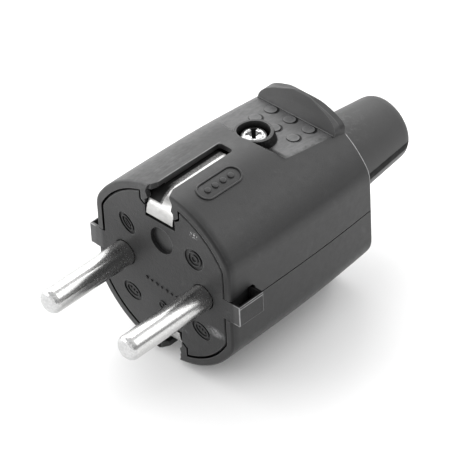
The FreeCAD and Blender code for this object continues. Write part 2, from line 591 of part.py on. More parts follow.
drive = cross[0].fuse([cross[1], cone_z(0.35, 0.95, HEAD_SEAT_Z + 0.3, HEAD_SEAT_Z + HEAD_H + 0.2, 0.0, SCREW_Y)])
hs = hs.cut(drive)
save(hs, "housing_screw")
nr = (NUT_AF / 2.0) / math.cos(math.pi / 6)
npts = [(nr * math.cos(math.radians(60 * i)), SCREW_Y + nr * math.sin(math.radians(60 * i))) for i in range(6)]
nut = prism_xy(npts, NUT_Z - NUT_H - 0.05, NUT_Z - 0.05)
nut = nut.common(turn_z([(NUT_Z - NUT_H - 0.05, 0.0), (NUT_Z - NUT_H - 0.05, nr - 0.35),
                         (NUT_Z - NUT_H + 0.25, nr + 0.1), (NUT_Z - 0.35, nr + 0.1),
                         (NUT_Z - 0.05, nr - 0.35), (NUT_Z - 0.05, 0.0)], 0.0, SCREW_Y))
nut = nut.cut(cyl_z(SHANK_R + 0.04, -25.0, 0.0, 0.0, SCREW_Y))
save(nut, "housing_nut")

# ---------------------------------------------------------------------------
# cable sleeve: flanged, slightly tapered tube with a rounded end
# ---------------------------------------------------------------------------
yn0 = REAR_RIB_END + 0.1
yn1 = SLEEVE_GROOVE_END - 0.1
e0 = SLEEVE_END
sl = turn_y([(yn0, SLEEVE_HOLE_R + 0.6), (yn0, FLANGE_SLEEVE_R), (yn1, FLANGE_SLEEVE_R), (yn1, SLEEVE_R0 - 0.02),
             (BODY_LEN + 0.2, SLEEVE_R0 - 0.02),
             (e0 - 1.7, SLEEVE_R1 + 0.03), (e0 - 1.0, SLEEVE_R1 - 0.12), (e0 - 0.45, SLEEVE_R1 - 0.45),
             (e0 - 0.12, SLEEVE_R1 - 0.9), (e0, SLEEVE_R1 - 1.35), (e0, SLEEVE_HOLE_R + 0.4),
             (e0 - 0.4, SLEEVE_HOLE_R), (yn0 + 0.6, SLEEVE_HOLE_R)])
save(sl, "cable_sleeve")
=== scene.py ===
import json
import math

import bmesh
import bpy
from mathutils import Matrix, Vector
from mathutils.bvhtree import BVHTree


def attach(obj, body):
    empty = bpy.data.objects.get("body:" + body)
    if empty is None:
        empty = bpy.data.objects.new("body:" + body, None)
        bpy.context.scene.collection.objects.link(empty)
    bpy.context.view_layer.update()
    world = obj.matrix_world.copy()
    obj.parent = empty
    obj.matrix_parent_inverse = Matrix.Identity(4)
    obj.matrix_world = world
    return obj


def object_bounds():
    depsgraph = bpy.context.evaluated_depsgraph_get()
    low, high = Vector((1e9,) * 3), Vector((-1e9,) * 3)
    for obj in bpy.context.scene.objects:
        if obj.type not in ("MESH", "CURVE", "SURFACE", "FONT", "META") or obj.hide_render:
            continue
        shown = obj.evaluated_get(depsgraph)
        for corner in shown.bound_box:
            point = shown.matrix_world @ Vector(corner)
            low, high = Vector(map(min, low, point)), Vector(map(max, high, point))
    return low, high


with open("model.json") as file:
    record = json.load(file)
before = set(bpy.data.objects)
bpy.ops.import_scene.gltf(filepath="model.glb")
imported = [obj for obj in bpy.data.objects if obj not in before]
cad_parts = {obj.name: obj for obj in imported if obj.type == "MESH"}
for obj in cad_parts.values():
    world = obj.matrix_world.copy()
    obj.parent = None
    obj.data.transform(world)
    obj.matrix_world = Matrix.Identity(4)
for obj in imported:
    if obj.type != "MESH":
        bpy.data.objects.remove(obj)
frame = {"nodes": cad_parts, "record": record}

BOX_AT_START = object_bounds()
scene = bpy.context.scene
nodes = frame["nodes"]
MM = 0.001
WORLD_ZENITH = 0.95
WORLD_HORIZON = 0.45
WORLD_LEFT = 0.95
WORLD_FRONT = 0.80
HOLLOW_Y = 0.24     # depth of the shallow ovals in the face, mm


# ---------------------------------------------------------------------------
# small helpers for shader graphs
# ---------------------------------------------------------------------------
class Graph:
    def __init__(self, name):
        self.mat = bpy.data.materials.new(name)
        self.mat.use_nodes = True
        self.t = self.mat.node_tree
        self.t.nodes.clear()
        self.out = self.t.nodes.new("ShaderNodeOutputMaterial")
        self.bsdf = self.t.nodes.new("ShaderNodeBsdfPrincipled")
        self.t.links.new(self.bsdf.outputs[0], self.out.inputs[0])
        tc = self.t.nodes.new("ShaderNodeTexCoord")
        mp = self.t.nodes.new("ShaderNodeMapping")
        mp.inputs["Scale"].default_value = (1000.0, 1000.0, 1000.0)
        self.link(tc.outputs["Object"], mp.inputs["Vector"])
        self.mm = mp.outputs[0]

    def link(self, a, b):
        self.t.links.new(a, b)

    def put(self, sock, v):
        if isinstance(v, (int, float, tuple, list)):
            sock.default_value = v
        else:
            self.link(v, sock)

    def scaled(self, sx, sy, sz):
        n = self.t.nodes.new("ShaderNodeMapping")
        n.inputs["Scale"].default_value = (sx, sy, sz)
        self.link(self.mm, n.inputs["Vector"])
        return n.outputs[0]

    def noise(self, scale, detail=3.0, rough=0.55, vec=None, distortion=0.0):
        n = self.t.nodes.new("ShaderNodeTexNoise")
        n.inputs["Scale"].default_value = scale
        n.inputs["Detail"].default_value = detail
        n.inputs["Roughness"].default_value = rough
        n.inputs["Distortion"].default_value = distortion
        self.link(vec if vec is not None else self.mm, n.inputs["Vector"])
        return n.outputs["Fac"]

    def voronoi(self, scale, vec=None, feature="F1"):
        n = self.t.nodes.new("ShaderNodeTexVoronoi")
        n.feature = feature
        n.inputs["Scale"].default_value = scale
        self.link(vec if vec is not None else self.mm, n.inputs["Vector"])
        return n.outputs["Distance"]

    def math(self, op, a, b=0.0, clamp=False):
        n = self.t.nodes.new("ShaderNodeMath")
        n.operation = op
        n.use_clamp = clamp
        self.put(n.inputs[0], a)
        self.put(n.inputs[1], b)
        return n.outputs[0]

    def remap(self, v, a, b, c=0.0, d=1.0, smooth=False):
        n = self.t.nodes.new("ShaderNodeMapRange")
        n.clamp = True
        if smooth:
            n.interpolation_type = "SMOOTHSTEP"
        self.put(n.inputs["Value"], v)
        n.inputs["From Min"].default_value = a
        n.inputs["From Max"].default_value = b
        n.inputs["To Min"].default_value = c
        n.inputs["To Max"].default_value = d
        return n.outputs["Result"]

    def mix(self, f, a, b):
        n = self.t.nodes.new("ShaderNodeMix")
        n.data_type = "RGBA"
        self.put(n.inputs[0], f)
        self.put(n.inputs[6], a)
        self.put(n.inputs[7], b)
        return n.outputs[2]

    def bump(self, height, strength, distance, normal=None):
        n = self.t.nodes.new("ShaderNodeBump")
        n.inputs["Strength"].default_value = strength
        n.inputs["Distance"].default_value = distance
        self.link(height, n.inputs["Height"])
        if normal is not None:
            self.link(normal, n.inputs["Normal"])
        return n.outputs[0]

    def bevel(self, radius):
        n = self.t.nodes.new("ShaderNodeBevel")
        n.samples = 8
        n.inputs["Radius"].default_value = radius
        return n.outputs[0]

    def edge_mask(self, radius, lo, hi):
        # 1 on rounded-off edges, 0 on flats
        b = self.bevel(radius)
        g = self.t.nodes.new("ShaderNodeNewGeometry")
        d = self.t.nodes.new("ShaderNodeVectorMath")
        d.operation = "DOT_PRODUCT"
        self.link(b, d.inputs[0])
        self.link(g.outputs["Normal"], d.inputs[1])
        return self.remap(d.outputs["Value"], hi, lo)

    def clean(self, dist, lo, hi):
        # 1 in the open, falling to 0 in tight corners and gaps where no light gets in; it drives painted shade
        n = self.t.nodes.new("ShaderNodeAmbientOcclusion")
        n.samples = 8
        n.inputs["Distance"].default_value = dist
        return self.remap(n.outputs["AO"], lo, hi)

    def spot(self, u, v, cu, cv, ru, rv, soft=0.5):
        # soft round patch in object space, 1 in the middle
        a = self.math("DIVIDE", self.math("SUBTRACT", u, cu), ru)
        b = self.math("DIVIDE", self.math("SUBTRACT", v, cv), rv)
        d = self.math("SQRT", self.math("ADD", self.math("MULTIPLY", a, a), self.math("MULTIPLY", b, b)))
        return self.remap(d, 1.0, soft)

    def normal_z(self):
        g = self.t.nodes.new("ShaderNodeNewGeometry")
        s = self.t.nodes.new("ShaderNodeSeparateXYZ")
        self.link(g.outputs["True Normal"], s.inputs[0])
        return s.outputs[2]

    def xyz(self):
        s = self.t.nodes.new("ShaderNodeSeparateXYZ")
        self.link(self.mm, s.inputs[0])
        return s.outputs[0], s.outputs[1], s.outputs[2]


def grey(v, tint=(1.0, 1.0, 1.0)):
    return (v * tint[0], v * tint[1], v * tint[2], 1.0)


# ---------------------------------------------------------------------------
# materials
# ---------------------------------------------------------------------------
def plastic(name, dark, light, rough, grain=1.0, edge_wear_and_highlight=0.10, bevel_r=0.16, blotch=1.0, spec=0.5,
            tint=(1.0, 1.0, 1.015), gap=(1.2, 0.30, 0.80), rest=False, face=False):
    g = Graph(name)
    x, y, z = g.xyz()
    big = g.noise(0.11, 2.0, 0.5)
    mid = g.noise(0.9, 3.0, 0.6)
    fine = g.noise(3.4, 2.0, 0.6)
    pits = g.voronoi(4.2)
    a = g.math("MULTIPLY", big, 0.45 * blotch)
    b = g.math("MULTIPLY", mid, 0.35)
    c = g.math("MULTIPLY", fine, 0.35)
    f = g.math("ADD", g.math("ADD", a, b), c, True)
    f = g.remap(f, 0.30, 0.85)
    col = g.mix(f, grey(dark, tint), grey(light, tint))
    r = g.math("ADD", g.remap(mid, 0.3, 0.7, rough - 0.05, rough + 0.06), g.remap(big, 0.3, 0.7, -0.03, 0.03))
    if rest:
        # painted light: the upward-facing floor of the finger rest is painted paler, with fine streaks along it
        nz = g.normal_z()
        area = g.math("MULTIPLY", g.remap(g.math("ABSOLUTE", nz), 0.95, 0.98), g.remap(g.math("ABSOLUTE", z), 16.35, 16.0))
        area = g.math("MULTIPLY", area, g.remap(g.math("ABSOLUTE", z), 14.2, 14.45))
        area = g.math("MULTIPLY", area, g.remap(g.math("SUBTRACT", y, g.remap(x, 3.4, 5.2, 0.0, 0.75)), 22.7, 23.05))
        area = g.math("MULTIPLY", area, g.remap(g.math("ADD", x, g.remap(mid, 0.3, 0.7, -0.7, 0.7)), 8.9, 7.7))
        corner = g.math("ADD", g.math("SUBTRACT", y, 23.05), g.math("MULTIPLY", g.math("SUBTRACT", 8.9, x), 0.8))
        area = g.math("MULTIPLY", area, g.remap(corner, 0.9, 1.5))
        streak = g.noise(1.0, 4.0, 0.65, vec=g.scaled(1.6, 0.5, 1.6))
        rest_painted_light = g.mix(g.remap(streak, 0.3, 0.72), grey(0.048, tint), grey(0.092, tint))
        col = g.mix(area, col, rest_painted_light)
        # painted shadow round the studs, thickest on their right, with a thin painted dark outline all round
        ux = g.math("SUBTRACT", x, g.math("MULTIPLY", g.math("ROUND", g.math("DIVIDE", x, 4.57)), 4.57))
        uy = g.math("SUBTRACT", y, g.math("ADD", 28.75, g.math("MULTIPLY", g.math("GREATER_THAN", y, 30.7), 3.93)))
        ur = g.math("SQRT", g.math("ADD", g.math("MULTIPLY", ux, ux), g.math("MULTIPLY", uy, uy)))
        turned = g.math("DIVIDE", g.math("ADD", ux, uy), g.math("MULTIPLY", g.math("MAXIMUM", ur, 0.01), 1.4142))
        stud_cast_shadow = g.math("MULTIPLY", g.math("MULTIPLY", g.remap(ur, 1.06, 1.16), g.remap(ur, 1.62, 1.46)), g.remap(turned, 0.15, 0.70))
        stud_shade_outline = g.math("MULTIPLY", g.math("MULTIPLY", g.remap(ur, 1.14, 1.20), g.remap(ur, 1.36, 1.30)), 0.42)
        ring = g.math("MAXIMUM", stud_cast_shadow, stud_shade_outline)
        ring = g.math("MULTIPLY", ring, g.math("MULTIPLY", g.remap(y, 27.2, 27.4), g.remap(g.math("ABSOLUTE", z), 16.2, 16.0)))
        ring = g.math("MULTIPLY", ring, g.math("MULTIPLY", g.remap(g.math("ABSOLUTE", z), 14.2, 14.45), g.remap(g.math("ABSOLUTE", x), 6.4, 6.2)))
        ring = g.math("MULTIPLY", ring, g.remap(y, 34.02, 33.98))
        # painted highlight: a pale ring just inside the rim of each stud's top
        stud_rim_highlight = g.math("MULTIPLY", g.math("MULTIPLY", g.remap(ur, 0.80, 0.95), g.remap(ur, 1.12, 1.02)), g.remap(y, 27.2, 27.4))
        col = g.mix(g.math("MULTIPLY", g.math("MULTIPLY", stud_rim_highlight, area), 0.35), col, grey(0.12, tint))
        # painted shade at the foot of the step on the right of the screw
        step_foot_shade = g.math("MULTIPLY", g.remap(y, 21.9, 22.7), g.remap(y, 23.85, 23.35))
        step_foot_shade = g.math("MULTIPLY", step_foot_shade, g.math("MULTIPLY", g.remap(x, 3.6, 4.6), g.remap(x, 8.6, 6.6)))
        step_foot_shade = g.math("MULTIPLY", step_foot_shade, g.remap(g.math("ABSOLUTE", z), 17.2, 16.8))
        # painted shadow on the outside of the screw boss, on its right
        around = g.math("SQRT", g.math("ADD", g.math("MULTIPLY", x, x), g.math("POWER", g.math("SUBTRACT", y, 23.6), 2.0)))
        boss_shadow = g.math("MULTIPLY", g.remap(around, 3.44, 3.56), g.remap(around, 4.4, 4.2))
        boss_shadow = g.math("MULTIPLY", boss_shadow, g.remap(g.math("ADD", x, g.math("MULTIPLY", g.math("SUBTRACT", y, 23.6), 0.8)), -1.2, 1.6))
        boss_shadow = g.math("MULTIPLY", boss_shadow, g.math("MULTIPLY", g.remap(g.math("ABSOLUTE", nz), 0.75, 0.5), g.remap(z, 15.0, 15.4)))
        mottle = g.remap(g.noise(2.2, 4.0, 0.7), 0.42, 0.60, 1.0, 0.62)
        shade = g.math("ADD", g.math("MULTIPLY", step_foot_shade, 0.95), g.math("MULTIPLY", boss_shadow, mottle), True)
        shade = g.math("MAXIMUM", shade, g.math("MULTIPLY", ring, 0.95))
        # painted shade on the slot's walls beside the strip, next to its mouth
        slot_mouth_shade = g.math("MULTIPLY", g.math("MULTIPLY", g.remap(y, 0.7, 1.0), g.remap(y, 20.0, 19.0)), g.remap(g.math("ABSOLUTE", x), 2.85, 2.65))
        slot_mouth_shade = g.math("MULTIPLY", slot_mouth_shade, g.remap(g.math("ABSOLUTE", z), 17.15, 16.95))
        shade = g.math("MAXIMUM", shade, g.math("MULTIPLY", slot_mouth_shade, 0.8))
        # a faint paler patch on the shoulder left of the slot, broken up by streaks
        left_shoulder_pale_patch = g.math("MULTIPLY", g.spot(x, y, -4.6, 6.0, 3.4, 11.0, 0.1), g.remap(streak, 0.42, 0.72))
        col = g.mix(g.math("MULTIPLY", left_shoulder_pale_patch, 0.16), col, grey(0.36, tint))
        # painted highlight: a thin pale line along the left lip of the slot
        slot_lip_highlight = g.math("MULTIPLY", g.remap(x, -1.98, -1.90), g.remap(x, -1.70, -1.76))
        slot_lip_highlight = g.math("MULTIPLY", slot_lip_highlight, g.math("MULTIPLY", g.remap(g.math("ABSOLUTE", z), 17.2, 17.5), g.math("MULTIPLY", g.remap(y, 1.5, 3.0), g.remap(y, 17.4, 16.6))))
        col = g.mix(g.math("MULTIPLY", slot_lip_highlight, g.remap(mid, 0.3, 0.7, 0.15, 0.5)), col, grey(0.34, tint))
    if face:
        # scuffs on the face: a pale smear low on the right and a few chips by the upper right edge
        rub = g.noise(1.3, 5.0, 0.75, distortion=0.8)
        s1 = g.math("MULTIPLY", g.spot(x, z, 12.2, -6.6, 2.6, 1.2, 0.2), g.remap(rub, 0.40, 0.62))
        s2 = g.math("MULTIPLY", g.spot(x, z, 8.1, 12.7, 1.3, 0.9, 0.2), g.remap(g.noise(3.0, 3.0, 0.7), 0.54, 0.60))
        s3 = g.math("MULTIPLY", g.spot(x, z, 3.4, -10.2, 2.4, 1.0, 0.2), g.remap(rub, 0.46, 0.66))
        col = g.mix(g.math("MULTIPLY", s1, 0.55), col, grey(0.40, tint))
        col = g.mix(g.math("MULTIPLY", s3, 0.30), col, grey(0.36, tint))
        col = g.mix(s2, col, grey(0.55, tint))
        # the guide lugs: painted light makes the left one paler; painted shade makes the tops dull and dark, as in the
        # shade of the housing
        ax = g.math("ABSOLUTE", x)
        col = g.mix(g.math("MULTIPLY", g.remap(x, -14.9, -15.6), 0.9), col, grey(0.060, tint))
        lug_top_shade = g.math("MULTIPLY", g.remap(g.normal_z(), 0.6, 0.9), g.remap(ax, 14.8, 15.3))
        lug_top_shade = g.math("MULTIPLY", lug_top_shade, g.remap(x, 0.0, 1.0))
    # paler edges, partly wear and partly painted highlight, broken up so that they don't read as a drawn line
    mask = g.edge_mask(bevel_r * MM, 0.86, 0.995)
    mask = g.math("MULTIPLY", mask, g.remap(mid, 0.32, 0.72, 0.35, 1.0))
    if face:
        # painted highlight lines along the edges of the guide lugs
        az = g.math("ABSOLUTE", z)
        ex = g.remap(ax, 18.08, 18.22)
        ez = g.remap(az, 1.92, 2.04)
        ey = g.math("MAXIMUM", g.remap(y, 0.22, 0.08), g.remap(y, 5.78, 5.92))
        lines = g.math("MAXIMUM", g.math("MULTIPLY", ex, ez), g.math("MULTIPLY", ex, ey))
        lines = g.math("MAXIMUM", lines, g.math("MULTIPLY", g.math("MULTIPLY", ez, g.remap(y, 0.22, 0.06)), g.remap(ax, 16.6, 17.2)))
        # a second fine painted highlight line just below the upper outer edge
        lines = g.math("MAXIMUM", lines, g.math("MULTIPLY", g.math("MULTIPLY", ex, g.remap(z, 1.50, 1.56)), g.remap(z, 1.70, 1.64)))
        lines = g.math("MULTIPLY", lines, g.math("MULTIPLY", g.remap(az, 2.4, 2.2), g.remap(y, 6.2, 6.05)))
        painted_highlight_lines = g.math("MULTIPLY", lines, g.remap(mid, 0.3, 0.6, 0.5, 1.0))
    if rest:
        # painted highlight lines on the rear rim of the housing and on the crest of the ridge
        az = g.math("ABSOLUTE", z)
        rear = g.math("MULTIPLY", g.remap(y, 36.70, 36.82), g.remap(y, 37.06, 36.98))
        rear = g.math("MULTIPLY", rear, g.math("MULTIPLY", g.remap(az, 0.5, 6.0), g.remap(g.math("ABSOLUTE", x), 9.3, 9.7)))
        crest = g.math("MULTIPLY", g.math("MULTIPLY", g.remap(y, 35.84, 35.92), g.remap(y, 36.06, 36.00)), g.remap(az, 16.0, 16.6))
        painted_highlight_lines = g.math("MAXIMUM", g.math("MULTIPLY", rear, 0.85), g.math("MULTIPLY", crest, 0.14))
        painted_highlight_lines = g.math("MULTIPLY", painted_highlight_lines, g.remap(mid, 0.3, 0.7, 0.6, 1.0))
        # painted light: the front of the ridge is a little greyer than the barrel
        ridge_front_painted_light = g.math("MULTIPLY", g.math("MULTIPLY", g.remap(y, 34.2, 34.5), g.remap(y, 36.0, 35.9)), g.remap(az, 15.0, 15.4))
        col = g.mix(g.math("MULTIPLY", ridge_front_painted_light, 0.55), col, grey(0.040, tint))
    mask = g.math("MULTIPLY", mask, edge_wear_and_highlight)
    col = g.mix(mask, col, grey(0.42, tint))
    if rest or face:
        col = g.mix(g.math("MULTIPLY", painted_highlight_lines, 0.62), col, grey(0.55, tint))
    # pale handling dust in small patches
    pale_patches = g.remap(g.noise(0.35, 4.0, 0.7, distortion=0.6), 0.60, 0.86, 0.0, 0.05)
    col = g.mix(pale_patches, col, grey(0.5, tint))
    # painted shade: dark and without gloss deep in gaps and corners
    clean = g.clean(gap[0] * MM, gap[1], gap[2])
    gloss = g.remap(mid, 0.0, 1.0, 1.0, 1.0)
    if face:
        # the face itself is duller than the lugs, most in its middle
        flat = g.math("MULTIPLY", g.remap(g.math("ABSOLUTE", x), 17.2, 16.6), g.remap(y, 0.6, 0.4))
        dull = g.remap(g.math("ABSOLUTE", z), 5.0, 13.0, 0.24, 0.56)
        dull = g.math("MULTIPLY", dull, g.remap(mid, 0.3, 0.7, 0.75, 1.25))
        gloss = g.math("ADD", g.math("MULTIPLY", g.math("SUBTRACT", dull, 1.0), flat), 1.0)
        gloss = g.math("MULTIPLY", gloss, g.math("SUBTRACT", 1.0, g.math("MULTIPLY", lug_top_shade, 0.85)))
        # painted shade: the outer side of the right guide lug reflects less
        lug_side_shade = g.math("MULTIPLY", g.remap(x, 18.05, 18.2), g.remap(mid, 0.3, 0.7, 1.0, 0.45))
        gloss = g.math("MULTIPLY", gloss, g.math("SUBTRACT", 1.0, g.math("MULTIPLY", lug_side_shade, 0.55)))
        clean = g.math("MULTIPLY", clean, g.math("SUBTRACT", 1.0, g.math("MULTIPLY", lug_top_shade, 0.8)))
    if rest:
        # painted shade: the right side of the front rim is duller
        front_rim_shade = g.math("MULTIPLY", g.remap(y, 1.9, 0.9), g.remap(x, 3.0, 10.0))
        gloss = g.math("SUBTRACT", 1.0, g.math("MULTIPLY", front_rim_shade, 0.50))
        # the seam between the halves stays a fine grey line
        clean = g.math("MAXIMUM", clean, g.math("MULTIPLY", g.math("MULTIPLY", g.remap(az, 0.5, 0.3), g.remap(y, 6.4, 7.0)), 0.50))
        clean = g.math("MULTIPLY", clean, g.math("SUBTRACT", 1.0, g.math("MULTIPLY", shade, 0.94)))
    col = g.mix(clean, grey(0.002), col)
    g.link(col, g.bsdf.inputs["Base Color"])
    g.link(g.mix(g.math("MULTIPLY", clean, gloss), grey(0.05), grey(1.0)), g.bsdf.inputs["Specular Tint"])
    g.link(r, g.bsdf.inputs["Roughness"])
    g.bsdf.inputs["Specular IOR Level"].default_value = spec
    nb = g.bevel(bevel_r * MM)
    n1 = g.bump(big, 0.25, 0.08 * MM, nb)
    n2 = g.bump(mid, 0.25 * grain, (0.06 if face else 0.03) * MM, n1)
    h = g.math("ADD", g.math("MULTIPLY", fine, 0.6), g.math("MULTIPLY", pits, 0.5))
    n3 = g.bump(h, 0.55 * grain, 0.022 * MM, n2)
    g.link(n3, g.bsdf.inputs["Normal"])
    return g.mat


def rubber(name):
    g = Graph(name)
    big = g.noise(0.13, 2.0, 0.5)
    mid = g.noise(0.8, 3.0, 0.6)
    fine = g.noise(3.0, 2.0, 0.55)
    f = g.remap(g.math("ADD", g.math("MULTIPLY", big, 0.6), g.math("MULTIPLY", mid, 0.4)), 0.3, 0.75)
    col = g.mix(f, grey(0.055), grey(0.070))
    # painted shade: a dark band along the underside that reflects little, with a clear line above it, and painted
    # paler below it
    x, y, z = g.xyz()
    turn = g.math("ARCTAN2", z, g.math("ABSOLUTE", x))
    underside_shade_band = g.math("MULTIPLY", g.remap(turn, 0.0, -0.04), g.remap(turn, -0.30, -0.25))
    underside_shade_band = g.math("MULTIPLY", underside_shade_band, g.remap(mid, 0.25, 0.6, 0.8, 1.0))
    col = g.mix(g.remap(turn, -0.25, -0.30), col, grey(0.11))
    # paler patches on the upper side, strongest next to the housing
    pale_patches = g.math("MULTIPLY", g.remap(g.noise(0.9, 5.0, 0.7, distortion=0.6), 0.50, 0.66), g.remap(z, 4.5, 8.0))
    col = g.mix(g.math("MULTIPLY", pale_patches, g.remap(y, 52.0, 44.0, 0.10, 0.55)), col, grey(0.15))
    col = g.mix(underside_shade_band, col, grey(0.016))
    g.link(g.mix(underside_shade_band, grey(1.0), grey(0.10)), g.bsdf.inputs["Specular Tint"])
    g.link(g.math("MULTIPLY", underside_shade_band, 0.75), g.bsdf.inputs["Metallic"])
    # paler edges, partly wear and partly painted highlight
    mask = g.math("MULTIPLY", g.edge_mask(0.3 * MM, 0.86, 0.995), 0.12)
    col = g.mix(mask, col, grey(0.4))
    g.link(col, g.bsdf.inputs["Base Color"])
    g.link(g.remap(mid, 0.3, 0.7, 0.50, 0.62), g.bsdf.inputs["Roughness"])
    g.bsdf.inputs["Specular IOR Level"].default_value = 0.18
    g.bsdf.inputs["Sheen Weight"].default_value = 0.06
    g.bsdf.inputs["Sheen Roughness"].default_value = 0.5
    nb = g.bevel(0.3 * MM)
    n1 = g.bump(big, 0.2, 0.1 * MM, nb)
    n2 = g.bump(fine, 0.3, 0.018 * MM, n1)
    g.link(n2, g.bsdf.inputs["Normal"])
    return g.mat


def nickel(name):
    g = Graph(name)
    lines = g.noise(1.0, 4.0, 0.65, vec=g.scaled(2.6, 0.05, 2.6))
    rings = g.noise(1.0, 3.0, 0.6, vec=g.scaled(0.12, 3.2, 0.12))
    spots = g.noise(2.6, 3.0, 0.65)
    specks = g.voronoi(3.1)
    x, y, z = g.xyz()
    near = g.remap(y, -12.0, -1.0, 0.35, 1.0)
    col = g.mix(g.remap(spots, 0.35, 0.75), grey(0.52, (1.0, 0.995, 0.985)), grey(0.68, (1.0, 0.997, 0.99)))
    pit = g.math("MULTIPLY", g.remap(specks, 0.26, 0.10), g.math("MULTIPLY", g.remap(spots, 0.44, 0.60), near))
    col = g.mix(g.math("MULTIPLY", pit, 0.7), col, grey(0.14, (1.0, 0.98, 0.95)))
    tip = g.remap(y, -18.1, -18.4)
    col = g.mix(tip, col, g.mix(g.remap(spots, 0.4, 0.65), grey(0.47), grey(0.60)))
    g.link(col, g.bsdf.inputs["Base Color"])
    g.bsdf.inputs["Metallic"].default_value = 1.0
    r = g.math("ADD", g.remap(lines, 0.3, 0.75, 0.17, 0.27), g.math("MULTIPLY", pit, 0.25))
    g.link(r, g.bsdf.inputs["Roughness"])
    nb = g.bevel(0.1 * MM)
    n1 = g.bump(lines, 0.16, 0.010 * MM, nb)
    n2 = g.bump(rings, 0.08, 0.008 * MM, n1)
    n3 = g.bump(spots, 0.20, 0.012 * MM, n2)
    # orange-peel speckle on the half next to the face
    peel = g.math("MULTIPLY", g.noise(5.5, 2.0, 0.6), g.remap(y, -12.5, -5.0, 0.0, 1.0))
    n4 = g.bump(peel, 0.75, 0.030 * MM, n3)
    g.link(n4, g.bsdf.inputs["Normal"])
    return g.mat


